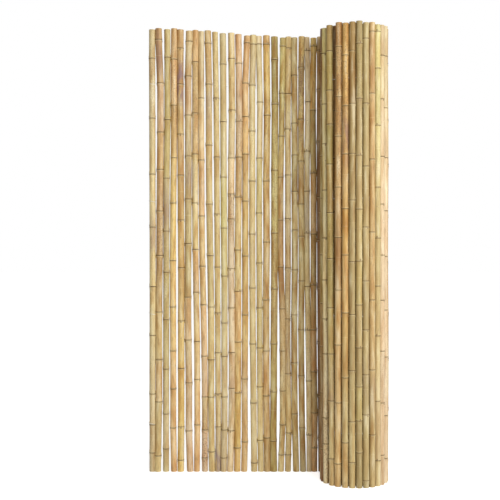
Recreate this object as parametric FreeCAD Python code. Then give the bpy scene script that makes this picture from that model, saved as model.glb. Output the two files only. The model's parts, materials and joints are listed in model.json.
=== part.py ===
import FreeCAD, Part
import math
import os

# A sheet of bamboo cane fencing that stands on end, partly rolled up.
# Four wires run through holes drilled in every cane. The open stretch runs to the left, with
# its feet in one straight line and its heads leaning towards the front at the free end. At its
# right-hand end the sheet turns into a roll, wound clockwise as seen from above.
# Z is up and the canes stand on Z = 0. X runs along the sheet, from the free end to the roll,
# and Y points to the back. The origin is the middle of the footprint, on the ground.

# Canes
fence_height = 1830.0
height_scatter = 4.0
cane_diameter = 25.4
thickness_scatter = 0.08
cane_wall = 3.2
hollow_depth = 60.0
joint_step = 0.6
joint_scatter = 70.0
bow_scatter = 1.0
outer_sides = 8
inner_sides = 8
hollow_sides = 4

# Wires, two rows set out from the foot and two from the head
rows_from_foot = (211.0, 673.0)
rows_from_head = (692.0, 218.0)
wire_diameter = 1.4
drill_clearance = 0.3
wrap_clearance = 0.4
wrap_drop = 8.0
wrap_angles = (22.5, 67.5, 112.5, 140.0)
wire_sides = 3

# Roll
core_radius = 68.0
turn_gap = 3.6
roll_gap = 3.2
gap_scatter = 0.8
back_gap = 4.5
back_canes = 3
outer_canes = 27
inner_canes = 30

# Lean of the open stretch
free_end_lean = 155.0
upright_length = 200.0

# Canes of the open stretch, from the free end to the roll. Each row is the cane's thickness as
# a share of cane_diameter, the clear space to the next cane at the foot and at the head, and
# how far the cane bows towards the roll at its lower and at its upper joint.
open_stretch = (
    (0.98, 1.7, 1.7, 2.5, 2.0),
    (1.07, 6.2, 5.0, 2.5, 4.5),
    (1.01, 7.5, 1.7, -0.5, 1.0),
    (1.00, 3.3, 1.7, -2.5, -0.5),
    (1.05, 12.0, 4.0, 2.5, -0.5),
    (1.05, 4.5, 1.7, -6.0, -2.5),
    (0.94, 9.0, 1.7, 3.0, -3.0),
    (0.96, 1.7, 1.7, 0.5, -5.0),
    (1.05, 1.7, 2.0, 2.5, 1.5),
    (0.93, 1.7, 7.0, 5.0, 3.5),
    (1.02, 1.7, 11.0, 4.5, 2.0),
    (1.02, 1.7, 1.7, 2.5, 1.0),
    (1.04, 4.0, 6.0, 2.5, 1.5),
    (1.01, 15.0, 1.7, 1.5, -2.5),
    (1.03, 1.7, 1.7, -3.5, -4.5),
    (0.97, 1.7, 5.0, -3.5, -1.5),
    (1.08, 1.7, 5.0, -4.0, -1.5),
    (1.09, 7.0, 6.5, -3.0, -1.0),
    (0.94, 4.0, 1.7, 1.0, -5.5),
    (0.95, 6.3, 1.7, -0.5, -1.0),
    (1.04, 3.4, 1.7, -4.0, -2.5),
    (1.01, 1.7, 1.7, -5.0, -2.5),
    (0.91, 1.7, 1.7, -2.0, -2.5),
    (0.98, 1.7, 2.5, -2.0, -2.5),
    (0.96, 4.3, 10.0, -2.0, -3.0),
)

# Canes of the roll's front, from its right-hand edge to its left-hand edge, in the same form.
roll_front = (
    (0.98, 11.5, 12.5, 0.0, 0.0),
    (0.97, 3.2, 3.2, 0.5, 0.5),
    (0.98, 3.7, 2.7, 0.0, 0.5),
    (0.99, 2.6, 2.3, 0.5, 0.5),
    (0.97, 2.6, 2.6, 0.5, 0.5),
    (0.98, 2.9, 2.3, 0.5, 0.5),
    (0.96, 3.3, 2.3, 0.5, 0.5),
    (0.99, 4.7, 2.3, 0.5, 0.5),
    (1.05, 2.3, 22.0, 0.5, 0.5),
    (1.03, 13.5, 14.5, 1.0, 2.0),
    (0.96, 6.7, 2.7, 0.5, 1.0),
    (0.98, 2.7, 2.7, 0.0, 0.0),
)
# Number of canes on the roll's far side, before the first one of roll_front
far_side_canes = 9

wire_rows = rows_from_foot + tuple(fence_height - row for row in rows_from_head)
turn_pitch = cane_diameter + turn_gap
golden_share = 0.6180339887
up = FreeCAD.Vector(0, 0, 1)


def uneven(index, spread):
    """A natural scatter between -spread and spread that doesn't repeat from piece to piece."""
    return spread * (2.0 * ((index * golden_share) % 1.0) - 1.0)


def plain_row(index, gap):
    """Thickness, gaps and bows of a cane that isn't in one of the two lists."""
    thickness = 1.0 + uneven(index, thickness_scatter)
    gap = gap + uneven(index + 5, gap_scatter)
    bow = uneven(index + 9, bow_scatter) / 2.0
    return (thickness, gap, gap, bow, -bow)


def sheet_rows():
    """The rows of all canes, from the free end to the heart of the roll."""
    rows = list(open_stretch)
    rows += [plain_row(i, back_gap) for i in range(back_canes)]
    rows += [plain_row(i + 20, roll_gap) for i in range(far_side_canes)]
    rows += list(roll_front)
    hidden = outer_canes - far_side_canes - len(roll_front) + inner_canes
    rows += [plain_row(i + 40, roll_gap) for i in range(hidden)]
    return rows


def stations(rows, column):
    """Distances along the sheet to each cane, from the cane where the roll begins."""
    places = [0.0]
    for row, following in zip(rows, rows[1:]):
        half_canes = cane_diameter * (row[0] + following[0]) / 2.0
        places.append(places[-1] + half_canes + row[column])
    start = places[len(open_stretch) + back_canes]
    return [place - start for place in places]


rows = sheet_rows()
feet = stations(rows, 1)
heads = stations(rows, 2)
single_canes = len(rows) - inner_canes
free_end = min(feet[0], heads[0])
wound_length = max(feet[-1], heads[-1])
roll_radius = math.sqrt(core_radius ** 2 + turn_pitch * wound_length / math.pi)


def lean(station):
    """How far a head at this station leans forward, in an even curve up to the free end."""
    share = (-upright_length - station) / (-upright_length - free_end)
    share = min(max(share, 0.0), 1.0)
    return free_end_lean * share * share * (3.0 - 2.0 * share)


def turn_angle(station):
    """Angle that the spiral has turned through at this distance along the sheet."""
    radius_left = math.sqrt(roll_radius ** 2 - turn_pitch * station / math.pi)
    return (roll_radius - radius_left) * 2.0 * math.pi / turn_pitch


def on_sheet(station, height):
    """The point of the sheet's middle at a distance along the sheet and a height."""
    if station <= 0.0:
        forward = lean(station) * height / fence_height
        return FreeCAD.Vector(station, roll_radius - forward, height)
    angle = turn_angle(station)
    radius = roll_radius - turn_pitch * angle / (2.0 * math.pi)
    return FreeCAD.Vector(radius * math.sin(angle), radius * math.cos(angle), height)


def ring(centre, along, diameter, sides):
    """A level polygon that holds a circle, with one flat square to the sheet's direction."""
    across = up.cross(along)
    corner = diameter / 2.0 / math.cos(math.pi / sides)
    points = []
    for i in range(sides):
        angle = (2 * i + 1) * math.pi / sides
        points.append(centre + along * (corner * math.cos(angle)) + across * (corner * math.sin(angle)))
    return points


def stack(rings):
    """A closed solid through a row of like polygons."""
    faces = [Part.Face(Part.makePolygon(end + end[:1])) for end in (rings[0], rings[-1])]
    for low, high in zip(rings, rings[1:]):
        for i in range(len(low)):
            j = (i + 1) % len(low)
            corners = [low[i], low[j], high[j], high[i], low[i]]
            faces.append(Part.Face(Part.makePolygon(corners)))
    solid = Part.Solid(Part.Shell(faces))
    if solid.Volume < 0:
        solid.reverse()
    return solid


def joint_heights(index):
    """Heights of a cane's two drawn joints, which keep clear of the wire rows."""
    lower = (wire_rows[0] + wire_rows[1]) / 2.0 + uneven(index, joint_scatter)
    upper = (wire_rows[2] + wire_rows[3]) / 2.0 + uneven(index + 3, joint_scatter)
    return lower, upper


def cane_axis(index):
    """The sheet's direction at a cane, and the points of its axis from foot to head."""
    middle = (feet[index] + heads[index]) / 2.0
    before = on_sheet(middle - 1.0, fence_height / 2.0)
    after = on_sheet(middle + 1.0, fence_height / 2.0)
    along = (after - before).normalize()
    head_height = fence_height + uneven(index, height_scatter)
    foot = on_sheet(feet[index], 0.0)
    head = on_sheet(heads[index], head_height)
    if index >= single_canes:
        return along, [foot, head]
    axis = [foot]
    for height, bow in zip(joint_heights(index), rows[index][3:]):
        axis.append(foot + (head - foot) * (height / head_height) + along * bow)
    axis.append(head)
    return along, axis


def axis_at(axis, height):
    """The point of a cane's axis at a height."""
    for low, high in zip(axis, axis[1:]):
        if height <= high.z:
            break
    return low + (high - low) * ((height - low.z) / (high.z - low.z))


def outer_cane(axis, along, diameter):
    """A cane that widens up to each joint, where it steps back in and may turn a little."""
    rings = []
    for low, high in zip(axis, axis[1:]):
        rings.append(ring(low, along, diameter - joint_step, outer_sides))
        rings.append(ring(high, along, diameter + joint_step, outer_sides))
    return stack(rings)


def inner_cane(axis, along, diameter):
    """A plain straight cane for the turns that the outer turn hides."""
    return stack([ring(end, along, diameter, inner_sides) for end in axis])


def hollow_end(axis, along, diameter):
    """The open hollow at the head of a cane, down to the wall of the next joint."""
    floor = axis_at(axis, axis[-1].z - hollow_depth)
    rim = axis_at(axis, axis[-1].z)
    clear = rim + (rim - floor) * 0.1
    width = (diameter - 2.0 * cane_wall) * math.cos(math.pi / hollow_sides)
    return stack([ring(point, along, width, hollow_sides) for point in (floor, clear)])


def wire_bends(axes, height):
    """The bends of a wire, one halfway between each two canes, and one beyond each end."""
    centres = [axis_at(axis, height) for axis in axes]
    bends = [(a + b) * 0.5 for a, b in zip(centres, centres[1:])]
    first = centres[0] * 2.0 - bends[0]
    last = centres[-1] * 2.0 - bends[-1]
    return [first] + bends + [last]


def end_wrap(axis, along, diameter, bend):
    """The wire's end, from where it leaves the end cane round that cane's front to its tip."""
    reach = (diameter + joint_step + wire_diameter / math.cos(math.pi / wire_sides)) / 2.0 + wrap_clearance
    corner = reach / math.cos(math.radians(wrap_angles[0]))
    centre = axis_at(axis, bend.z)
    path = [centre + (bend - centre).normalize() * reach]
    for number, angle in enumerate(wrap_angles):
        turned = math.radians(angle)
        outward = -along * math.cos(turned) - up.cross(along) * math.sin(turned)
        drop = wrap_drop * (number + 1) / len(wrap_angles)
        path.append(axis_at(axis, bend.z - drop) + outward * corner)
    return path


def wire_solid(path, diameter):
    """A wire of straight runs, whose section is carried along the path and mitred at its bends."""
    corner = diameter / 2.0 / math.cos(math.pi / wire_sides)
    runs = [(b - a).normalize() for a, b in zip(path, path[1:])]
    across = up.cross(runs[0]).normalize()
    upright = runs[0].cross(across)
    section = []
    for i in range(wire_sides):
        angle = 2.0 * math.pi * i / wire_sides
        section.append(path[0] + upright * (corner * math.cos(angle)) + across * (corner * math.sin(angle)))
    rings = [section]
    for point, run, following in zip(path[1:], runs, runs[1:] + runs[-1:]):
        mitre = run + following
        section = [v + run * ((point - v).dot(mitre) / run.dot(mitre)) for v in section]
        rings.append(section)
    return stack(rings)


def drill_holes(index, wires):
    """The straight holes that let the wires through one cane."""
    drill = wire_diameter + 2.0 * drill_clearance
    holes = []
    for bends in wires:
        start, end = bends[index:index + 2]
        overrun = (end - start).normalize() * drill
        holes.append(wire_solid([start - overrun, end + overrun], drill))
    return holes


def build_sheet():
    """Every node by name, with its shape."""
    canes = [cane_axis(index) for index in range(len(rows))]
    wires = [wire_bends([axis for along, axis in canes], height) for height in wire_rows]
    nodes = {}
    turns = []
    for index, (along, axis) in enumerate(canes):
        diameter = cane_diameter * rows[index][0]
        holes = drill_holes(index, wires)
        if index < single_canes:
            holes.append(hollow_end(axis, along, diameter))
            nodes["cane_%02d" % (index + 1)] = outer_cane(axis, along, diameter).cut(holes)
        else:
            turns.append(inner_cane(axis, along, diameter).cut(holes))
    nodes["inner_turns"] = Part.makeCompound(turns)
    along, axis = canes[0]
    for number, bends in enumerate(reversed(wires)):
        wrap = end_wrap(axis, along, cane_diameter * rows[0][0], bends[0])
        nodes["wire_%d" % (number + 1)] = wire_solid(bends[:0:-1] + wrap, wire_diameter)
    return nodes


nodes = build_sheet()
whole = Part.makeCompound(list(nodes.values())).BoundBox
to_origin = FreeCAD.Vector(-whole.Center.x, -whole.Center.y, 0)

os.makedirs("parts", exist_ok=True)
for name, shape in nodes.items():
    shape.translate(to_origin)
    shape.exportStep("parts/%s.step" % name)
print("nodes", len(nodes), "box", round(whole.XLength, 1), round(whole.YLength, 1), round(whole.ZLength, 1))
print("roll centre", round(to_origin.x, 1), round(to_origin.y, 1), "radius", round(roll_radius, 1))
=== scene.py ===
import json
import math
import random

import bmesh
import bpy
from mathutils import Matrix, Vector


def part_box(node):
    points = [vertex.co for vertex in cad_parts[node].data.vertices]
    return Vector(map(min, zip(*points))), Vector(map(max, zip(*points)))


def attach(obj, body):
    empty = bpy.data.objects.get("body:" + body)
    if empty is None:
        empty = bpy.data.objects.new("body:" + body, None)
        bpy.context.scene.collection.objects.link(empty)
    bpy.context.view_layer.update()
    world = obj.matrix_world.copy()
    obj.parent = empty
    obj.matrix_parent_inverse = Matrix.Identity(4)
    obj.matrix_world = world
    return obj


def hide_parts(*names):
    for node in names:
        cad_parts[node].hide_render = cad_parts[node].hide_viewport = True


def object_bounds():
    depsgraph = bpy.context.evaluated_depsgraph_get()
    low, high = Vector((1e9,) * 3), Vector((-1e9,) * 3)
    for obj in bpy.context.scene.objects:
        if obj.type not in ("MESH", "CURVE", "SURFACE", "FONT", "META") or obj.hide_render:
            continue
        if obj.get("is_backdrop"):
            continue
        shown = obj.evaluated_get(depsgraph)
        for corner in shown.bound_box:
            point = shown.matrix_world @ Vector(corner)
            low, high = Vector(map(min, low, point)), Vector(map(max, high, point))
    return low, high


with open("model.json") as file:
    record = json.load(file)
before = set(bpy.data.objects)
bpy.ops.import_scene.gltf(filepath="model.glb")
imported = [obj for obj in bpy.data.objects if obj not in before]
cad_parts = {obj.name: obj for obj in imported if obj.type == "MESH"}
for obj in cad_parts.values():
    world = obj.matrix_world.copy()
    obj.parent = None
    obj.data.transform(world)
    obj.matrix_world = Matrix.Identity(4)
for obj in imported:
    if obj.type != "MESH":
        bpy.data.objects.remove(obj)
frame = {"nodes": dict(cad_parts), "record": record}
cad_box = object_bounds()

# Canes of the open stretch and of the roll's outer turn
# Each is one dried bamboo cane about 25 mm thick, sawn square at both ends and hollow between its
# joints. Four holes are drilled through it for the wires, and nothing else holds it.
wall = 0.0032
hollow_depth = 0.060
saw_edge = 0.0004
culm_sides = 24
culm_rings = 14
drill_width = 0.0020
drill_overrun = 0.0040
drill_sides = 12
weld = 0.00001
sharp_angle = math.radians(38.0)

# Joints: the spacing where none can be read from the photograph, and how far a joint stands off
joint_spacing = 0.200
joint_jitter = 0.12
end_shares = (0.2, 0.8)
end_margin = 0.022
kink_along = 0.0004
kink_across = 0.0013

# What stands out on the skin: how high it is, how far along the cane it lies from its joint, and
# how far it spreads there. The turn of a bud and of the groove is how far they spread round it.
swelling_heights = (0.0006, 0.0014)
swelling_spread = 0.011
scar_height = 0.0005
scar_spread = 0.0010
ridge_height = 0.0009
ridge_place = 0.0055
ridge_spread = 0.0030
dip_place = 0.0024
dip_spread = 0.0012
bud_height = 0.0008
bud_place = 0.0045
bud_spread = 0.0025
bud_turn = 0.22
groove_depths = (0.0, 0.0007)
groove_turn = 0.33
unevenness = 0.0005

# The eye of the photograph, which turns a row of it into a height on a cane
eye = Vector((-0.0679, -3.7174, 0.945))
focal_rows = 912.0
horizon_row = 247.3
row_rounds = 3
picture_size = 500.0

# Rows of the photograph at which the joints of a cane are seen, by the cane's number
joint_rows = {
    1: (58, 118, 174, 227, 394, 425, 453),
    2: (132, 211, 402, 456),
    3: (57, 119.5, 178, 414, 449),
    4: (203, 307, 428),
    5: (134, 175, 220, 321, 427),
    6: (41, 76, 115, 156, 199, 383, 431),
    7: (154, 203, 425),
    8: (33, 98, 160, 216, 397, 430, 458),
    9: (84, 145, 204, 307),
    10: (37, 98, 157, 214, 313, 394, 427),
    11: (64, 121.5, 177, 228, 323, 397, 430, 458),
    12: (110, 158, 194, 219, 308, 431),
    13: (63, 121, 157, 197, 393, 448),
    14: (83, 116.5, 154, 201, 256, 315, 379, 442),
    15: (44, 85, 131, 181, 234, 288, 344, 403, 463),
    16: (44, 102, 158, 213, 263, 308, 387),
    17: (44, 115, 181, 242, 300, 351, 396, 438),
    18: (104, 170, 233, 289, 344, 392),
    19: (46, 93, 136, 177, 220, 267, 351, 391, 425, 455),
    20: (175, 268, 319, 374, 433, 455),
    21: (75, 123, 155, 230, 270, 315, 363, 414, 467),
    22: (161, 281, 330, 376, 428),
    23: (151, 233, 330, 381, 435),
    24: (46, 110, 173, 234, 285, 330, 372, 413, 448),
    25: (141, 342),
    40: (68, 187, 238, 286),
    41: (31, 93, 159, 232, 300, 370, 435),
    42: (38, 103, 166, 227, 281, 330, 375, 415, 481),
    43: (43, 98, 155, 209, 305, 348, 387, 421, 453),
    44: (200, 422),
    45: (255, 313, 378, 443),
    46: (187, 290, 345, 403, 464),
    47: (90, 124, 164, 401, 459),
    48: (190, 238, 280, 319, 354, 418, 444),
}

# Left-hand edges of the canes of the open stretch, read at these rows of the photograph, by the
# cane's number. A cane strays from its line by at most sway_limit to follow them.
edge_rows = (40, 80, 140, 200, 260, 315, 380, 425, 465)
left_edges = {
    1: (149.0, 149.0, 149.2, 149.5, 149.6, 149.5, 149.5, 149.5, 149.5),
    2: (155.0, 157.0, 157.1, 156.5, 156.0, 155.5, 155.8, 155.5, 154.5),
    3: (164.0, 164.5, 164.0, 163.0, 163.2, 163.0, 162.8, 163.0, 163.0),
    4: (171.0, 170.5, 171.0, 170.0, 169.8, 170.0, 170.2, 170.0, 171.0),
    5: (177.0, 177.0, 177.3, 177.5, 178.0, 178.0, 178.0, 178.0, 177.5),
    6: (186.0, 184.5, 185.0, 185.0, 184.9, 184.5, 186.0, 185.5, 187.0),
    7: (192.5, 192.0, 192.0, 192.0, 192.4, 194.0, 194.3, 194.5, 194.0),
    8: (198.0, 198.0, 198.1, 198.5, 199.2, 200.5, 201.9, 202.0, 202.0),
    9: (204.0, 205.5, 205.2, 206.0, 207.0, 208.0, 207.9, 207.5, 209.0),
    10: (212.0, 213.0, 213.7, 214.0, 214.2, 215.0, 214.9, 215.5, 215.0),
    11: (219.5, 220.0, 220.2, 220.5, 221.0, 221.5, 221.2, 221.5, 220.5),
    12: (228.0, 229.0, 228.2, 228.0, 227.9, 228.5, 229.0, 228.5, 227.0),
    13: (235.0, 236.0, 235.8, 235.0, 234.6, 235.0, 234.8, 234.5, 234.0),
    14: (244.5, 242.0, 242.5, 242.0, 242.0, 242.0, 241.6, 242.0, 241.0),
    15: (250.0, 249.0, 248.9, 249.0, 249.0, 249.5, 249.8, 250.5, 251.0),
    16: (255.5, 257.0, 256.8, 256.0, 256.2, 256.5, 257.1, 257.0, 258.0),
    17: (263.0, 264.0, 263.7, 262.5, 263.5, 262.5, 263.0, 263.0, 264.0),
    18: (271.0, 271.5, 271.8, 270.5, 271.6, 270.5, 270.6, 269.5, 270.5),
    19: (280.0, 279.5, 278.9, 277.0, 277.4, 279.5, 279.8, 280.0, 278.0),
    20: (285.5, 285.0, 284.9, 285.0, 285.0, 284.5, 285.0, 286.0, 285.0),
    21: (291.0, 291.0, 291.6, 291.5, 291.8, 291.0, 291.0, 291.5, 293.0),
    22: (298.5, 298.0, 298.0, 298.0, 298.6, 298.0, 298.4, 299.0, 300.0),
    23: (304.0, 305.5, 304.6, 304.0, 304.3, 305.0, 306.0, 307.0, 306.5),
    24: (310.5, 310.0, 309.5, 311.0, 310.4, 310.5, 311.2, 312.0, 311.0),
}
sway_limit = 0.003

# Tones of dried bamboo
tones = {
    "cream": "e8d8b0",
    "pale_rose": "d8c19d",
    "pale_straw": "e0d09c",
    "green_straw": "d2c584",
    "straw": "d9c48c",
    "beige": "d0bc90",
    "sand": "c8b682",
    "dull_straw": "b7a271",
    "tan": "cbae78",
    "golden": "e0c47c",
    "honey": "c9a15c",
    "orange_tan": "e3c08c",
    "rose_tan": "d9bd98",
    "olive": "b7a566",
    "brown_tan": "bf9c68",
    "rust": "b2864a",
    "bronze": "9a7c46",
    "dim_straw": "a99768",
    "brown": "a8845a",
    "umber": "8f6f4a",
}

# Tones of each cane at its foot, its middle and its head, and the one that some of its joints
# part off, by the cane's number
cane_tones = {
    1: ("beige", "pale_straw", "beige", "straw"),
    2: ("straw", "tan", "brown_tan", "rose_tan"),
    3: ("cream", "sand", "sand", "olive"),
    4: ("orange_tan", "golden", "brown_tan", "orange_tan"),
    5: ("golden", "tan", "brown_tan", "golden"),
    6: ("rose_tan", "sand", "beige", "rose_tan"),
    7: ("orange_tan", "straw", "tan", "orange_tan"),
    8: ("rose_tan", "orange_tan", "beige", "straw"),
    9: ("straw", "sand", "tan", "straw"),
    10: ("beige", "straw", "sand", "straw"),
    11: ("beige", "green_straw", "sand", "beige"),
    12: ("cream", "pale_rose", "straw", "orange_tan"),
    13: ("golden", "straw", "rose_tan", "orange_tan"),
    14: ("orange_tan", "golden", "orange_tan", "tan"),
    15: ("pale_straw", "straw", "pale_straw", "beige"),
    16: ("straw", "straw", "cream", "green_straw"),
    17: ("tan", "tan", "golden", "orange_tan"),
    18: ("olive", "green_straw", "olive", "brown_tan"),
    19: ("pale_straw", "brown_tan", "green_straw", "tan"),
    20: ("straw", "beige", "straw", "tan"),
    21: ("tan", "sand", "sand", "olive"),
    22: ("dull_straw", "sand", "golden", "tan"),
    23: ("cream", "pale_straw", "cream", "straw"),
    24: ("orange_tan", "orange_tan", "golden", "olive"),
    # Cane 25 stands in the roll's shadow: its dark umber and brown tones are painted shade.
    25: ("umber", "brown", "brown_tan", "umber"),
    38: ("pale_rose", "pale_rose", "beige", "pale_rose"),
    39: ("pale_rose", "pale_rose", "beige", "pale_rose"),
    40: ("beige", "sand", "green_straw", "sand"),
    41: ("dull_straw", "tan", "brown_tan", "tan"),
    42: ("dim_straw", "dull_straw", "dim_straw", "sand"),
    43: ("dim_straw", "dull_straw", "dim_straw", "olive"),
    44: ("sand", "dim_straw", "bronze", "dim_straw"),
    45: ("sand", "honey", "honey", "tan"),
    46: ("tan", "brown_tan", "rust", "tan"),
    47: ("straw", "olive", "olive", "tan"),
    48: ("cream", "pale_straw", "green_straw", "straw"),
    # Cane 49 lies on the roll's shaded left flank: its umber tones are painted shade.
    49: ("umber", "olive", "umber", "brown"),
}
common_tones = ("straw", "tan", "sand", "beige", "green_straw", "rose_tan", "brown_tan",
                "dull_straw")
tone_height = 1.83

# Marks that stand out on a cane: its height, how far it reaches, and how strong it is
stains = {
    2: (1.72, 0.10, 0.5),
    5: (1.62, 0.09, 1.3),
    10: (0.06, 0.09, 1.3),
    22: (1.65, 0.25, 0.6),
}
speckles = {
    7: (1.50, 0.30, 0.5),
    8: (0.10, 0.15, 1.0),
    12: (1.12, 0.12, 0.9),
    18: (1.20, 0.60, 0.6),
    22: (1.60, 0.30, 1.0),
    45: (1.60, 0.30, 0.8),
    46: (1.55, 0.40, 1.0),
    48: (0.15, 0.20, 0.8),
}

# Marks of the other canes, drawn at random between these heights and strengths
mark_heights = (0.2, 1.7)
stain_reach = 0.1
stain_strengths = (0.0, 0.6)
speckle_reach = 0.2
speckle_strengths = (0.0, 0.7)


def linear(hex_colour):
    """A colour written as on a screen, as the renderer reads it."""
    shares = [int(hex_colour[i:i + 2], 16) / 255.0 for i in (0, 2, 4)]
    return [s / 12.92 if s <= 0.04045 else ((s + 0.055) / 1.055) ** 2.4 for s in shares] + [1.0]


class Field:
    """An output socket, so that a formula of sockets reads as one."""

    def __init__(self, socket):
        self.socket = socket
        self.tree = socket.id_data

    def math(self, operation, *others):
        inputs = dict(enumerate((self,) + others))
        return add(self.tree, "ShaderNodeMath", inputs, operation=operation)

    def __add__(self, other):
        return self.math("ADD", other)

    def __sub__(self, other):
        return self.math("SUBTRACT", other)

    def __rsub__(self, other):
        return self.math("MULTIPLY", -1.0).math("ADD", other)

    __radd__ = __add__

    def __mul__(self, other):
        return self.math("MULTIPLY", other)

    __rmul__ = __mul__

    def __truediv__(self, other):
        return self.math("DIVIDE", other)

    def __gt__(self, other):
        return self.math("GREATER_THAN", other)

    def __lt__(self, other):
        return self.math("LESS_THAN", other)


def connect(socket, value):
    if isinstance(value, Field):
        value.tree.links.new(value.socket, socket)
    else:
        socket.default_value = value


def add(tree, kind, inputs=None, output=0, **settings):
    """A new node with its settings and inputs, as the field of one of its outputs."""
    node = tree.nodes.new(kind)
    for name, value in settings.items():
        setattr(node, name, value)
    for name, value in (inputs or {}).items():
        connect(node.inputs[name], value)
    return Field(node.outputs[output])


def mix(factor, low, high, blend_type="MIX"):
    """A colour between two, by a field."""
    return add(factor.tree, "ShaderNodeMix", {0: factor, 6: low, 7: high}, output=2,
               data_type="RGBA", blend_type=blend_type)


def vector_math(operation, first, second):
    """Two vectors added, subtracted or multiplied axis by axis."""
    inputs = {0: first, 1: second}
    return add(first.tree, "ShaderNodeVectorMath", inputs, operation=operation)


def scaled(vector, factor):
    """A vector or a colour made longer or shorter."""
    inputs = {0: vector, 3: factor}
    return add(vector.tree, "ShaderNodeVectorMath", inputs, operation="SCALE")


def ease(value, low, high):
    """0 where a field is at low, 1 where it is at high, and soft between."""
    inputs = {0: value, 1: low, 2: high}
    return add(value.tree, "ShaderNodeMapRange", inputs, interpolation_type="SMOOTHSTEP")


def bell(value, middle, reach):
    """1 where a field is at middle, and falling off within about reach of it."""
    share = (value - middle) / reach
    return (share * share * -1.0).math("EXPONENT")


def new_tree(name, inputs):
    """A geometry tree with named inputs, which come back as fields by their names."""
    tree = bpy.data.node_groups.new(name, "GeometryNodeTree")
    tree.interface.new_socket("Geometry", in_out="OUTPUT", socket_type="NodeSocketGeometry")
    tree.interface.new_socket("Geometry", in_out="INPUT", socket_type="NodeSocketGeometry")
    for label, kind in inputs:
        tree.interface.new_socket(label, in_out="INPUT", socket_type="NodeSocket" + kind)
    start = tree.nodes.new("NodeGroupInput")
    return tree, {socket.name: Field(socket) for socket in start.outputs if socket.name}


def end_tree(tree, geometry):
    end = tree.nodes.new("NodeGroupOutput")
    connect(end.inputs[0], geometry)
    return tree


def store(geometry, name, value, data_type="FLOAT", domain="POINT"):
    """A geometry that keeps a value under a name, for the trees and finishes to read."""
    return add(geometry.tree, "GeometryNodeStoreNamedAttribute",
               {"Geometry": geometry, "Name": name, "Value": value},
               data_type=data_type, domain=domain)


def stored(tree, name, data_type="FLOAT"):
    return add(tree, "GeometryNodeInputNamedAttribute", {"Name": name}, data_type=data_type)


def choose(index, values):
    """The value whose place in the list is index."""
    node = index.tree.nodes.new("GeometryNodeIndexSwitch")
    node.data_type = "FLOAT"
    while len(node.index_switch_items) < len(values):
        node.index_switch_items.new()
    connect(node.inputs[0], index)
    for place, value in enumerate(values):
        connect(node.inputs[place + 1], value)
    return Field(node.outputs[0])


def drawn(index, seed):
    """A random number from 0 to 1 for each index."""
    return add(index.tree, "FunctionNodeRandomValue",
               {"Min": 0.0, "Max": 1.0, "ID": index, "Seed": seed}, output=1, data_type="FLOAT")


def round_bar(curve, sides, width):
    """A closed round bar along a curve."""
    circle = add(curve.tree, "GeometryNodeCurvePrimitiveCircle",
                 {"Resolution": sides, "Radius": width * 0.5})
    return add(curve.tree, "GeometryNodeCurveToMesh",
               {"Curve": curve, "Profile Curve": circle, "Fill Caps": True})


def smoothed(geometry):
    return add(geometry.tree, "GeometryNodeSetShadeSmooth",
               {"Geometry": geometry, "Shade Smooth": True}, domain="FACE")


def joint_relief(given, gap, above, wrapped):
    """How far the skin stands out near a joint: its swelling, sheath scar, ridge, dip and bud."""
    swelling = given["Swelling"] * bell(gap, 0.0, swelling_spread)
    scar = given["Scar"] * bell(gap, 0.0, scar_spread)
    ridge = given["Ridge"] * bell(above, ridge_place, ridge_spread)
    dip = given["Ridge"] * bell(above, dip_place, dip_spread) * 0.5
    bud = given["Bud"] * bell(above, bud_place, bud_spread) * bell(wrapped, 0.0, bud_turn)
    return swelling + scar + ridge - dip + bud


def culm_tone(given, level, joint):
    """The tone of a cane at a height. It parts a little from one joint to the next."""
    up_share = level / tone_height
    lower_tone = mix(ease(up_share, 0.05, 0.5), given["Foot tone"], given["Middle tone"])
    tone = mix(ease(up_share, 0.5, 0.95), lower_tone, given["Head tone"])
    tone = mix(ease(drawn(joint, given["Seed"]), 0.35, 1.0) * 0.6, tone, given["Odd tone"])
    lightness = 0.93 + 0.14 * drawn(joint, given["Seed"] + 7.0)
    return scaled(tone, lightness)


def drilled(skin, lines, width):
    """A cane with a round hole along each line, whose sharp edges are shaded as such."""
    curves = add(skin.tree, "GeometryNodeMeshToCurve", {"Mesh": lines})
    drill = store(round_bar(curves, drill_sides, width), "part", 1.0, domain="FACE")
    culm = smoothed(add(skin.tree, "GeometryNodeMeshBoolean", {0: skin, 1: drill},
                        operation="DIFFERENCE", solver="MANIFOLD"))
    sharp = add(skin.tree, "GeometryNodeInputMeshEdgeAngle") > sharp_angle
    return add(skin.tree, "GeometryNodeSetShadeSmooth",
               {"Geometry": culm, "Selection": sharp, "Shade Smooth": False}, domain="EDGE")


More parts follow.
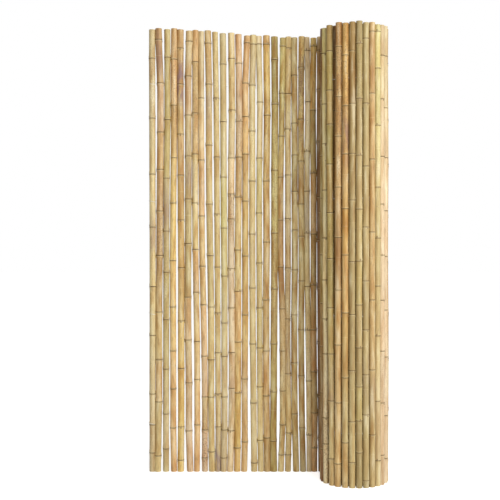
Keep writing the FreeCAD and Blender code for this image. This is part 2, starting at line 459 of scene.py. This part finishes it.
def culm_tree():
    """One cane round the points of its joints: skin, sawn ends, open head and drilled holes."""
    tree, given = new_tree("bamboo_culm", (
        ("Radius", "Float"), ("Wall", "Float"), ("Hollow depth", "Float"), ("Saw edge", "Float"),
        ("Sides", "Int"), ("Rings", "Int"), ("Growth up", "Float"), ("Swelling", "Float"),
        ("Scar", "Float"), ("Ridge", "Float"), ("Groove", "Float"), ("Bud", "Float"),
        ("Unevenness", "Float"), ("Drill width", "Float"), ("Turn", "Float"), ("Seed", "Int"),
        ("Foot tone", "Color"), ("Middle tone", "Color"), ("Head tone", "Color"),
        ("Odd tone", "Color"),
        ("Stain", "Float"), ("Stain height", "Float"), ("Stain reach", "Float"),
        ("Speckle", "Float"), ("Speckle height", "Float"), ("Speckle reach", "Float"),
        ("Skin", "Material"), ("Cut", "Material"), ("Inside", "Material")))
    parts = add(tree, "GeometryNodeSeparateGeometry",
                {"Geometry": given["Geometry"], "Selection": stored(tree, "drill")}, output=1)
    drill_lines = Field(parts.socket.node.outputs[0])
    joints = add(tree, "GeometryNodeAttributeDomainSize", {"Geometry": parts})
    rings = given["Rings"]
    last = joints - 1.0
    foot_rows = 2.0
    head_rows = 4.0
    skin_rows = last * rings
    rows = skin_rows + (foot_rows + head_rows)

    tube = add(tree, "GeometryNodeMeshCylinder",
               {"Vertices": given["Sides"], "Side Segments": rows, "Radius": 1.0, "Depth": 1.0},
               fill_type="NONE")
    place = add(tree, "ShaderNodeSeparateXYZ", {0: add(tree, "GeometryNodeInputPosition")})
    across = Field(place.socket.node.outputs[1])
    height = Field(place.socket.node.outputs[2])
    angle = across.math("ARCTAN2", place)
    row = ((height + 0.5) * rows).math("ROUND")

    # Rings crowd together at both ends of each length between two joints
    step = (row - foot_rows).math("MAXIMUM", 0.0).math("MINIMUM", skin_rows)
    length_number = (step / rings + 0.0001).math("FLOOR").math("MINIMUM", last - 1.0)
    part = (step - length_number * rings) / rings
    crowd = 1.0 - (part * 2.0 - 1.0).math("ABSOLUTE")
    two = add(tree, "ShaderNodeValue")
    two.socket.default_value = 2.0
    doublings = two.math("POWER", crowd * rings * 0.5) - 1.0
    near = doublings / (two.math("POWER", rings * 0.5) - 1.0) * 0.5
    upper = part > 0.5
    share = near + upper * (1.0 - near * 2.0)
    low_joint = add(tree, "FunctionNodeFloatToInt", {0: length_number})
    high_joint = add(tree, "FunctionNodeFloatToInt", {0: length_number + 1.0})
    position = add(tree, "GeometryNodeInputPosition")
    low, high = [add(tree, "GeometryNodeSampleIndex",
                     {"Geometry": parts, "Value": position, "Index": index},
                     data_type="FLOAT_VECTOR") for index in (low_joint, high_joint)]
    along = vector_math("SUBTRACT", high, low)
    length = add(tree, "ShaderNodeVectorMath", {0: along}, output=1, operation="LENGTH")
    direction = add(tree, "ShaderNodeVectorMath", {0: along}, operation="NORMALIZE")
    centre = vector_math("ADD", low, scaled(along, share))

    # A joint swells the cane, has a sheath scar, and a ridge on the side that grew later
    nearest = length_number + upper
    real = (nearest > 0.5) * (nearest < last - 0.5)
    gap = near * length
    side = (1.0 - upper * 2.0) * given["Growth up"]
    above = gap * side
    odd = length_number.math("FLOORED_MODULO", 2.0)
    turn = angle - given["Turn"] - odd * math.pi
    wrapped = turn.math("WRAP", math.pi, -math.pi).math("ABSOLUTE")
    uneven = add(tree, "ShaderNodeTexNoise",
                 {"Vector": centre, "W": given["Seed"] * 1.7, "Scale": 9.0},
                 noise_dimensions="4D") - 0.5
    oval = (angle * 2.0 + given["Seed"]).math("COSINE") * 0.5
    standing = joint_relief(given, gap, above, wrapped)
    grown = 0.5 + given["Growth up"] * (0.5 - share)
    groove = given["Groove"] * bell(wrapped, 0.0, groove_turn) * grown
    radius = given["Radius"] + standing * real - groove + (uneven + oval) * given["Unevenness"]

    # Rows past the skin close the foot, and make the rim, the hollow and its floor at the head
    foot_row = row.math("MINIMUM", foot_rows)
    head_row = (row - skin_rows - foot_rows).math("MAXIMUM", 0.0)
    edge = radius - given["Saw edge"]
    bore = given["Radius"] - given["Wall"]
    width = choose(foot_row, (0.0, edge, choose(head_row, (radius, edge, bore, bore, 0.0))))
    at_head = step > skin_rows - 0.5
    bevel = given["Saw edge"]
    floor_lift = bevel - given["Hollow depth"]
    head_lift = choose(head_row, (0.0, bevel, bevel, floor_lift, floor_lift))
    foot_lift = choose(foot_row, (-1.0, -1.0, 0.0)) * bevel
    lift = foot_lift + at_head * head_lift
    ring_place = add(tree, "ShaderNodeCombineXYZ",
                     {0: angle.math("COSINE") * width, 1: angle.math("SINE") * width})
    middle = vector_math("ADD", centre, scaled(direction, lift))
    placed = vector_math("ADD", middle, ring_place)

    # What the finish reads: a grain that follows the cane, its joints, its tones and its marks
    level = add(tree, "ShaderNodeSeparateXYZ", {0: middle}, output=2)
    grain = add(tree, "ShaderNodeCombineXYZ", {0: angle.math("COSINE") * given["Radius"],
                                               1: angle.math("SINE") * given["Radius"], 2: level})
    tone = culm_tone(given, level, low_joint)
    millimetres = 1000.0
    no_joint = 99.0
    stain = given["Stain"] * bell(level, given["Stain height"], given["Stain reach"])
    speckle = given["Speckle"] * bell(level, given["Speckle height"], given["Speckle reach"])
    skin = store(tube, "row", row)
    skin = store(skin, "grain", grain, data_type="FLOAT_VECTOR")
    skin = store(skin, "tone", tone, data_type="FLOAT_COLOR")
    skin = store(skin, "joint_gap", gap * millimetres * real + (1.0 - real) * no_joint)
    skin = store(skin, "joint_side", side)
    skin = store(skin, "bud_gap", wrapped * given["Radius"] * millimetres)
    skin = store(skin, "stain", stain)
    skin = store(skin, "speckle", speckle)
    skin = store(skin, "own", given["Seed"] * 0.37)
    skin = add(tree, "GeometryNodeSetPosition", {"Geometry": skin, "Position": placed})
    skin = add(tree, "GeometryNodeMergeByDistance", {"Geometry": skin, "Distance": weld})
    face_row = stored(tree, "row")
    bore_row = skin_rows + 4.0
    sawn = (face_row < 1.2) + (face_row > skin_rows + foot_rows) * (face_row < bore_row)
    hollow = face_row > bore_row
    skin = store(skin, "part", sawn + hollow * 2.0, domain="FACE")

    culm = drilled(skin, drill_lines, given["Drill width"])
    culm = add(tree, "GeometryNodeRealizeInstances", {"Geometry": culm})
    culm = add(tree, "GeometryNodeSetMaterial", {"Geometry": culm, "Material": given["Skin"]})
    for name, number in (("Cut", 1.0), ("Inside", 2.0)):
        chosen = stored(tree, "part").math("COMPARE", number, 0.5)
        culm = add(tree, "GeometryNodeSetMaterial",
                   {"Geometry": culm, "Selection": chosen, "Material": given[name]})
    return end_tree(tree, culm)


def grow(name, points, edges, own_points, tree, values):
    """A plain mesh object that a tree makes from lines. Points after its own draw its holes."""
    lines = bpy.data.meshes.new(name)
    lines.from_pydata(points, edges, [])
    drill = lines.attributes.new("drill", "FLOAT", "POINT")
    drill.data.foreach_set("value", [float(i >= own_points) for i in range(len(points))])
    piece = bpy.data.objects.new(name, lines)
    modifier = piece.modifiers.new("grow", "NODES")
    modifier.node_group = tree
    for item in tree.interface.items_tree:
        if item.in_out == "INPUT" and item.name in values:
            modifier[item.identifier] = values[item.name]
    bpy.context.scene.collection.objects.link(piece)
    evaluated = piece.evaluated_get(bpy.context.evaluated_depsgraph_get())
    made = bpy.data.meshes.new_from_object(evaluated)
    while made.materials and made.materials[0] is None:
        made.materials.pop(index=0)
    piece.modifiers.clear()
    piece.data = made
    return piece


def new_material(name):
    material = bpy.data.materials.new(name)
    material.use_nodes = True
    material.node_tree.nodes.clear()
    return material, material.node_tree


def finish_material(tree, colour, roughness, height, depth, metallic=0.0, gloss=0.5):
    """The surface that shows a colour, a roughness and a relief of the given depth."""
    bump = add(tree, "ShaderNodeBump", {"Strength": 1.0, "Distance": depth, "Height": height})
    surface = add(tree, "ShaderNodeBsdfPrincipled",
                  {"Base Color": colour, "Roughness": roughness, "Normal": bump,
                   "Metallic": metallic, "Specular IOR Level": gloss})
    end = tree.nodes.new("ShaderNodeOutputMaterial")
    connect(end.inputs["Surface"], surface)


def read(tree, name, output="Fac"):
    return add(tree, "ShaderNodeAttribute", output=output, attribute_name=name)


def stretched(tree, vector, round_scale, long_scale, offset):
    """The grain's coordinates, scaled round the cane and along it, and moved on for each cane."""
    drawn_out = vector_math("MULTIPLY", vector, (round_scale, round_scale, long_scale))
    moved = add(tree, "ShaderNodeCombineXYZ", {0: offset, 1: offset * 2.3, 2: offset * 5.1})
    return vector_math("ADD", drawn_out, moved)


def noise(tree, vector, detail=2.0, roughness=0.5):
    return add(tree, "ShaderNodeTexNoise",
               {"Vector": vector, "Scale": 1.0, "Detail": detail, "Roughness": roughness})


def bamboo_skin(name, mottle, stain_colour):
    """The waxy skin of a dried cane, with its fibres, mottling, spots, joints and bud scars.

    The gaps from a joint and from a bud are in millimetres.
    """
    material, tree = new_material(name)
    grain = read(tree, "grain", "Vector")
    own = read(tree, "own")
    tone = read(tree, "tone", "Color")
    gap = read(tree, "joint_gap")
    side = read(tree, "joint_side")
    bud_gap = read(tree, "bud_gap")
    broad = noise(tree, stretched(tree, grain, 55.0, 9.0, own))
    cloud = noise(tree, stretched(tree, grain, 160.0, 34.0, own + 3.0), 4.0, 0.6)
    streak = noise(tree, stretched(tree, grain, 330.0, 7.0, own + 7.0), 3.0, 0.6)
    fibre = noise(tree, stretched(tree, grain, 1100.0, 16.0, own), 3.0, 0.6)
    thread = noise(tree, stretched(tree, grain, 2600.0, 60.0, own), 2.0, 0.5)

    warm = mix(ease(broad, 0.42, 0.70) * mottle, tone, linear("d0a86c"), "MULTIPLY")
    aged = mix(ease(cloud, 0.50, 0.72) * mottle * 0.8, warm, linear("8d7350"))
    fibred = mix(ease(fibre, 0.35, 0.75) * 0.20, aged, linear("a98a58"), "MULTIPLY")
    streaked = mix(ease(streak, 0.45, 0.70) * 0.30, fibred, linear("ac8c54"), "MULTIPLY")
    pale = mix(ease(broad, 0.48, 0.25) * 0.30, streaked, linear("f2e9c8"))

    stain_place = ease(noise(tree, stretched(tree, grain, 60.0, 14.0, own + 9.0), 3.0), 0.35, 0.62)
    stained = mix(stain_place * read(tree, "stain"), pale, linear(stain_colour))
    cells = add(tree, "ShaderNodeTexVoronoi",
                {"Vector": stretched(tree, grain, 420.0, 190.0, own), "Scale": 1.0})
    freckles = ease(cells, 0.30, 0.12) * ease(cloud, 0.42, 0.58)
    few = ease(broad, 0.56, 0.66) * 0.5
    speckle = read(tree, "speckle")
    freckled = mix(freckles * (speckle + few).math("MINIMUM", 1.0), stained, linear("5a4230"))
    spots = add(tree, "ShaderNodeTexVoronoi",
                {"Vector": stretched(tree, grain, 230.0, 120.0, own + 5.0), "Scale": 1.0})
    blotches = ease(spots + (cloud - 0.5) * 0.6, 0.46, 0.20) * speckle
    blotched = mix(blotches * 0.8, freckled, linear("6e4c3a"))

    # A band on each side of the joint, the sheath scar itself, and the bud above it
    above = gap * side
    wobble = (noise(tree, stretched(tree, grain, 140.0, 20.0, own)) - 0.5) * 1.2
    dusty = mix(ease(gap, 9.0, 1.5) * ease(cloud, 0.30, 0.60) * 0.40, blotched, linear("a08250"))
    waxy = mix(bell(above, 2.8, 1.8) * 0.35, dusty, linear("e6d8ac"))
    scar = ease(gap + wobble.math("ABSOLUTE"), 2.5, 0.8) * (0.68 + ease(broad, 0.3, 0.6) * 0.30)
    scarred = mix(scar, waxy, linear("523b20"))
    bud = ease(bell(above, 5.0, 3.4) * bell(bud_gap, 0.0, 2.6), 0.25, 0.6)
    budded = mix(bud * 0.75, scarred, linear("6a4b2c"))
    roughness = 0.34 + cloud * 0.14 + scar * 0.25 + fibre * 0.06
    relief = fibre * 0.5 + thread * 0.3 + cloud * 0.5 - scar * 1.5 - freckles * 0.4 - blotches * 0.8
    finish_material(tree, budded, roughness, relief, 0.00018, gloss=0.25)
    return material


def sawn_bamboo():
    """A sawn face: pale wood with the dark dots of its fibre bundles, closer towards the skin."""
    material, tree = new_material("sawn_bamboo")
    place = add(tree, "ShaderNodeTexCoord", output="Object")
    bundles = add(tree, "ShaderNodeTexVoronoi", {"Vector": scaled(place, 1500.0), "Scale": 1.0})
    dots = ease(bundles, 0.42, 0.16)
    saw = noise(tree, vector_math("MULTIPLY", place, (90.0, 1400.0, 90.0)), 3.0)
    cloud = noise(tree, scaled(place, 160.0), 3.0)
    wood = mix(ease(cloud, 0.3, 0.7), linear("dcc79a"), linear("c3a673"))
    dotted = mix(dots * 0.65, wood, linear("7d5c38"))
    worn = mix(ease(saw, 0.45, 0.75) * 0.3, dotted, linear("a78c62"))
    finish_material(tree, worn, 0.72 + cloud * 0.12, saw * 0.8 - dots * 0.6, 0.0002)
    return material


def hollow_bamboo():
    """The papery lining inside a cane and the wall across its joint."""
    material, tree = new_material("hollow_bamboo")
    place = add(tree, "ShaderNodeTexCoord", output="Object")
    cloud = noise(tree, scaled(place, 120.0), 4.0, 0.6)
    lines = noise(tree, vector_math("MULTIPLY", place, (900.0, 900.0, 30.0)), 3.0)
    lining = mix(ease(cloud, 0.3, 0.7), linear("e6d6ac"), linear("c9ad78"))
    lined = mix(ease(lines, 0.5, 0.8) * 0.4, lining, linear("9c7c4e"))
    finish_material(tree, lined, 0.80 + cloud * 0.1, lines + cloud * 0.5, 0.0003)
    return material


def merged(node):
    """A copy of a CAD node's mesh whose loose triangles are joined at their corners."""
    mesh = bmesh.new()
    mesh.from_mesh(frame["nodes"][node].data)
    bmesh.ops.remove_doubles(mesh, verts=mesh.verts, dist=weld)
    return mesh


def ring_middle(ring):
    """The middle of a set of corners. An exact sum is the same in whatever order they come."""
    return Vector(math.fsum(corner.co[i] for corner in ring) / len(ring) for i in range(3))


def wire_route(node):
    """The bends of a wire from its free end on, read from its CAD node ring by ring."""
    longest_cap_edge = 0.004
    mesh = merged(node)
    caps = [f for f in mesh.faces if max(e.calc_length() for e in f.edges) < longest_cap_edge]
    ring = set(min(caps, key=lambda cap: cap.calc_center_median().x).verts)
    seen = set()
    route = []
    while ring:
        seen |= ring
        route.append(ring_middle(ring))
        ring = {e.other_vert(v) for v in ring for e in v.link_edges} - seen
    mesh.free()
    return route


def level_middle(points, low, high):
    """The middle of the points between two heights, and how far the furthest one is from it."""
    band = [p for p in points if low <= p.z <= high]
    middle = Vector((sum(f(p[i] for p in band) / 2.0 for f in (min, max)) for i in range(3)))
    return middle, max((p - middle).xy.length for p in band)


def axis_point(axis, height):
    """The point of a cane's axis at a height."""
    for low, high in zip(axis, axis[1:]):
        if height <= high.z:
            break
    return low.lerp(high, (height - low.z) / (high.z - low.z))


def seen_height(row, axis, radius):
    """The height at which a row of the photograph looks at a cane's front."""
    height = eye.z
    for _ in range(row_rounds):
        distance = axis_point(axis, height).y - radius - eye.y
        height = eye.z + (horizon_row - row) * distance / focal_rows
    return height


def seen_sway(number, axis, radius, height):
    """How far a cane stands to the right of its line at a height, read from its left-hand edge."""
    point = axis_point(axis, height)
    distance = point.y - eye.y
    row = horizon_row - (height - eye.z) * focal_rows / distance
    edges = left_edges[number]
    place = min(max(row, edge_rows[0]), edge_rows[-1])
    step = max(i for i in range(len(edge_rows) - 1) if edge_rows[i] <= place)
    share = (place - edge_rows[step]) / (edge_rows[step + 1] - edge_rows[step])
    column = edges[step] + (edges[step + 1] - edges[step]) * share
    middle = eye.x + (column - picture_size / 2.0) * distance / focal_rows + radius
    return min(max(middle - point.x, -sway_limit), sway_limit)


def joint_heights(seen, head, dice):
    """Heights of a cane's joints: those seen, and others where the stretch between is too long."""
    below = -dice.uniform(*end_shares) * joint_spacing
    beyond = head + dice.uniform(*end_shares) * joint_spacing
    marks = [below] + sorted(seen) + [beyond]
    heights = []
    for low, high in zip(marks, marks[1:]):
        count = max(round((high - low) / joint_spacing), 1)
        heights.append(low)
        for i in range(1, count):
            share = (i + dice.uniform(-joint_jitter, joint_jitter)) / count
            heights.append(low + (high - low) * share)
    return [h for h in heights if end_margin < h < head - end_margin]


# The wires' bends: the first five go round the first cane, and a cane lies between each later two
wire_nodes = sorted(node for node in frame["nodes"] if node.startswith("wire_"))
routes = [wire_route(node) for node in wire_nodes]
wrap_bends = 4
culm = culm_tree()
skins = {
    "bamboo_pale": bamboo_skin("pale_skin", 0.35, "b9a98c"),
    "bamboo_straw": bamboo_skin("straw_skin", 0.50, "96827a"),
    "bamboo_tan": bamboo_skin("tan_skin", 0.60, "8c7068"),
    "bamboo_brown": bamboo_skin("brown_skin", 0.75, "7d6048"),
}
sawn = sawn_bamboo()
inside = hollow_bamboo()
slot_of = {part["node"]: part["material_slot"] for part in frame["record"]["subparts"]}


def grow_culm(name, number, axis, radius, sides, rings, skin, unseen_tones):
    """A cane through its joints, with a hole where each wire runs from gap to gap."""
    dice = random.Random(number)
    seen = [seen_height(row, axis, radius) for row in joint_rows.get(number, ())]
    heights = joint_heights(seen, axis[-1].z, dice)
    runs = [route[number + wrap_bends - 1:number + wrap_bends + 1] for route in routes]
    sheet = (runs[0][1] - runs[0][0]).normalized()
    square = Vector((-sheet.y, sheet.x, 0.0))
    points = [axis_point(axis, saw_edge)]
    for height in heights:
        along = sheet * dice.uniform(-kink_along, kink_along)
        across = square * dice.uniform(-kink_across, kink_across)
        points.append(axis_point(axis, height) + (along + across))
    points.append(axis_point(axis, axis[-1].z - saw_edge))
    if number in left_edges:
        points = [p + sheet * seen_sway(number, axis, radius, p.z) for p in points]
    edges = [(i, i + 1) for i in range(len(points) - 1)]
    own_points = len(points)
    for start, end in runs:
        overrun = (end - start).normalized() * drill_overrun
        edges.append((len(points), len(points) + 1))
        points += [start - overrun, end + overrun]
    odd_choice = [dice.choice(unseen_tones) for _ in range(4)]
    foot, middle, head, odd = [linear(tones[tone]) for tone in cane_tones.get(number, odd_choice)]
    stain = (dice.uniform(*mark_heights), stain_reach, dice.uniform(*stain_strengths))
    stain = stains.get(number, stain)
    speckle = (dice.uniform(*mark_heights), speckle_reach, dice.uniform(*speckle_strengths))
    speckle = speckles.get(number, speckle)
    values = {
        "Radius": radius, "Wall": wall, "Hollow depth": hollow_depth, "Saw edge": saw_edge,
        "Sides": sides, "Rings": rings, "Growth up": dice.choice((-1.0, 1.0)),
        "Swelling": dice.uniform(*swelling_heights), "Scar": scar_height, "Ridge": ridge_height,
        "Groove": dice.uniform(*groove_depths), "Bud": bud_height, "Unevenness": unevenness,
        "Drill width": drill_width, "Turn": dice.randrange(sides) * 2 * math.pi / sides,
        "Seed": number, "Foot tone": foot, "Middle tone": middle, "Head tone": head,
        "Odd tone": odd,
        "Stain height": stain[0], "Stain reach": stain[1], "Stain": stain[2],
        "Speckle height": speckle[0], "Speckle reach": speckle[1], "Speckle": speckle[2],
        "Skin": skin, "Cut": sawn, "Inside": inside,
    }
    return grow(name, points, edges, own_points, culm, values)


# The eight-sided solid's foot is a step narrower than its middle. A round cane of the open stretch
# fills as much as its solid, and one of the roll is as wide as its flats, so that the gaps stay
# open. A cane's axis runs through the middles of its solid at both cuts and in two plain bands.
octagon_flat = math.cos(math.pi / 8)
equal_area = math.sqrt(8 * math.tan(math.pi / 8) / math.pi)
foot_step = 0.0003
cut_band = 0.001
plain_bands = ((0.30, 0.60), (1.20, 1.55))
cane_nodes = sorted(node for node in frame["nodes"] if node.startswith("cane_"))
for node in cane_nodes:
    corners = [v.co for v in frame["nodes"][node].data.vertices]
    low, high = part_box(node)
    foot, reach = level_middle(corners, 0.0, cut_band)
    axis = [foot]
    for band in plain_bands + ((high.z - cut_band, high.z),):
        axis.append(level_middle(corners, *band)[0])
    number = int(node[-2:])
    widening = equal_area if number in left_edges else 1.0
    radius = (reach * octagon_flat + foot_step) * widening
    piece = grow_culm("culm_%02d" % number, number, axis, radius, culm_sides, culm_rings,
                      skins[slot_of[node]], common_tones)
    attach(piece, "root")
    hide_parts(node)

# Canes of the inner turns
# Thirty more canes of the same kind stand inside the outer turn, threaded on the same wires. They
# show through the outer turn's gaps and from above, so they are grown in the same way, but painted
# in darker tones that stand for the deep shade inside the roll.
inner_sides = 16
inner_rings = 10
# The inner canes' tones and stain colour are darker than the outer turn's: painted shade of the
# roll's inside, not a darker kind of cane.
inner_skin = bamboo_skin("inner_skin", 0.6, "6f5140")
inner_shade_tones = ("honey", "rust", "bronze", "brown", "umber")
joint_allowance = 0.0003


def islands(mesh):
    """The corners of each separate solid in a mesh."""
    left = set(mesh.verts)
    while left:
        island = {left.pop()}
        edge = island
        while edge:
            edge = {e.other_vert(v) for v in edge for e in v.link_edges} - island
            island |= edge
        left -= island
        yield [v.co.copy() for v in island]


inner_mesh = merged("inner_turns")
solids = list(islands(inner_mesh))
inner_mesh.free()
feet = [level_middle(corners, 0.0, cut_band) for corners in solids]
lowest = routes[-1]
turns = []
for number in range(len(cane_nodes) + 1, len(cane_nodes) + len(solids) + 1):
    start, end = lowest[number + wrap_bends - 1:number + wrap_bends + 1]
    middle = (start + end) / 2.0
    nearest = min(range(len(solids)), key=lambda i: (feet[i][0] - middle).xy.length)
    foot, reach = feet[nearest]
    top = max(corner.z for corner in solids[nearest])
    head = level_middle(solids[nearest], top - cut_band, top)[0]
    radius = reach * octagon_flat - joint_allowance
    turns.append(grow_culm("inner_%02d" % number, number, [foot, head], radius,
                           inner_sides, inner_rings, inner_skin, inner_shade_tones))
with bpy.context.temp_override(active_object=turns[0], selected_editable_objects=turns):
    bpy.ops.object.join()
inner_culms = turns[0]
inner_culms.name = "inner_culms"
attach(inner_culms, "root")
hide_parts("inner_turns")

# Line wires
# Four galvanised steel wires run level through the drilled canes. At the free end each one comes
# out of the first cane and is bent round its front, which keeps the canes from sliding off.
wire_width = 0.0014
wire_bend = 0.0120
wire_sides = 10
bend_steps = 4


def wire_tree():
    """A round wire along a line, with its corners bent to a radius."""
    tree, given = new_tree("line_wire", (
        ("Width", "Float"), ("Bend", "Float"), ("Sides", "Int"), ("Metal", "Material")))
    line = add(tree, "GeometryNodeMeshToCurve", {"Mesh": given["Geometry"]})
    line = add(tree, "GeometryNodeFilletCurve",
               {"Curve": line, "Radius": given["Bend"], "Limit Radius": True, "Count": bend_steps},
               mode="POLY")
    wire = smoothed(round_bar(line, given["Sides"], given["Width"]))
    wire = add(tree, "GeometryNodeRealizeInstances", {"Geometry": wire})
    wire = add(tree, "GeometryNodeSetMaterial", {"Geometry": wire, "Material": given["Metal"]})
    return end_tree(tree, wire)


def galvanised_wire():
    """Dull zinc lightened almost to white, partly the pale metal and partly a painted glint, with a
    few rust specks.
    """
    material, tree = new_material("dull_zinc")
    place = add(tree, "ShaderNodeTexCoord", output="Object")
    cloud = noise(tree, scaled(place, 400.0), 3.0)
    rust = ease(noise(tree, scaled(place, 90.0), 4.0), 0.58, 0.70)
    # Zinc painted almost white: partly the pale metal itself, partly a painted glint so that the
    # wires show bright in the shaded gaps between canes.
    zinc = mix(ease(cloud, 0.35, 0.65), linear("f2f2ec"), linear("d0d2ce"))
    rusted = mix(rust * 0.6, zinc, linear("7a4f30"))
    finish_material(tree, rusted, 0.38 + cloud * 0.2 + rust * 0.2, cloud, 0.00005, metallic=0.4)
    return material


galvanised = galvanised_wire()
wire_maker = wire_tree()
for node, route in zip(wire_nodes, routes):
    chain = [(i, i + 1) for i in range(len(route) - 1)]
    wire = grow("line_" + node, route, chain, len(route), wire_maker,
                {"Width": wire_width, "Bend": wire_bend, "Sides": wire_sides, "Metal": galvanised})
    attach(wire, "root")
    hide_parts(node)

# Floor
# A plain white floor that the panel stands on. It looks pure white to the eye where nothing shades
# it, and keeps the soft shadow of the canes.
floor_half = 30.0
floor_drop = 0.0002
floor_glow = 0.74
floor_grey = (0.85, 0.85, 0.85, 1.0)
white = (1.0, 1.0, 1.0, 1.0)


def seen_only(tree):
    """1 for what the eye sees, straight or in a reflection, and 0 for light that bounces."""
    path = tree.nodes.new("ShaderNodeLightPath")
    camera = Field(path.outputs["Is Camera Ray"])
    glossy = Field(path.outputs["Is Glossy Ray"])
    through = Field(path.outputs["Is Transmission Ray"])
    return camera.math("MAXIMUM", glossy).math("MAXIMUM", through)


def white_floor():
    """A matt floor with a glow that only the eye sees, so that it lights nothing."""
    material, tree = new_material("white_floor")
    matt = add(tree, "ShaderNodeBsdfDiffuse", {"Color": floor_grey})
    glow = add(tree, "ShaderNodeEmission",
               {"Color": white, "Strength": seen_only(tree) * floor_glow})
    end = tree.nodes.new("ShaderNodeOutputMaterial")
    connect(end.inputs["Surface"], add(tree, "ShaderNodeAddShader", {0: matt, 1: glow}))
    return material


floor_mesh = bpy.data.meshes.new("floor")
floor_corners = [(x * floor_half, y * floor_half, -floor_drop)
                 for x, y in ((-1, -1), (1, -1), (1, 1), (-1, 1))]
floor_mesh.from_pydata(floor_corners, [], [(0, 1, 2, 3)])
floor_mesh.materials.append(white_floor())
floor = bpy.data.objects.new("floor", floor_mesh)
bpy.context.scene.collection.objects.link(floor)
floor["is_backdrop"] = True

# Light and camera
# Soft daylight all round, a broad lamp in front of the panel, and two weaker ones to its right that
# light the roll's flank and the canes' right-hand rims. The camera looks level along the panel's
# depth. Each lamp has its name, place, size and power.
sky_light = 0.32
lamps = (
    ("front", (1.1, -4.1, 1.8), 2.6, 115.0),
    ("fill", (2.9, -2.7, 1.7), 1.6, 36.0),
    ("side", (3.5, -1.8, 1.7), 1.0, 31.0),
)
aim = Vector((0.0, 0.0, 0.9))
for name, place, size, power in lamps:
    lamp = bpy.data.lights.new(name, "AREA")
    lamp.size = size
    lamp.energy = power
    lamp_object = bpy.data.objects.new(name, lamp)
    lamp_object.location = place
    lamp_object.rotation_euler = (aim - Vector(place)).to_track_quat("-Z", "Y").to_euler()
    bpy.context.scene.collection.objects.link(lamp_object)

world = bpy.data.worlds.new("studio")
world.use_nodes = True
world.node_tree.nodes.clear()
seen = seen_only(world.node_tree)
sky = add(world.node_tree, "ShaderNodeBackground",
          {"Color": white, "Strength": seen * (1.0 - sky_light) + sky_light})
world_end = world.node_tree.nodes.new("ShaderNodeOutputWorld")
connect(world_end.inputs["Surface"], sky)
bpy.context.scene.world = world

sensor_width = 36.0
camera_data = bpy.data.cameras.new("camera")
camera_data.sensor_width = sensor_width
camera_data.lens = focal_rows * sensor_width / picture_size
camera_data.shift_y = (horizon_row - picture_size / 2.0) / picture_size
camera = bpy.data.objects.new("camera", camera_data)
camera.location = eye
camera.rotation_euler = (math.pi / 2.0, 0.0, 0.0)
bpy.context.scene.collection.objects.link(camera)
bpy.context.scene.camera = camera
bpy.context.scene.view_settings.view_transform = "Standard"

sizes = {"cad": cad_box, "visual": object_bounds()}
{name: [list(corner) for corner in box] for name, box in sizes.items()}
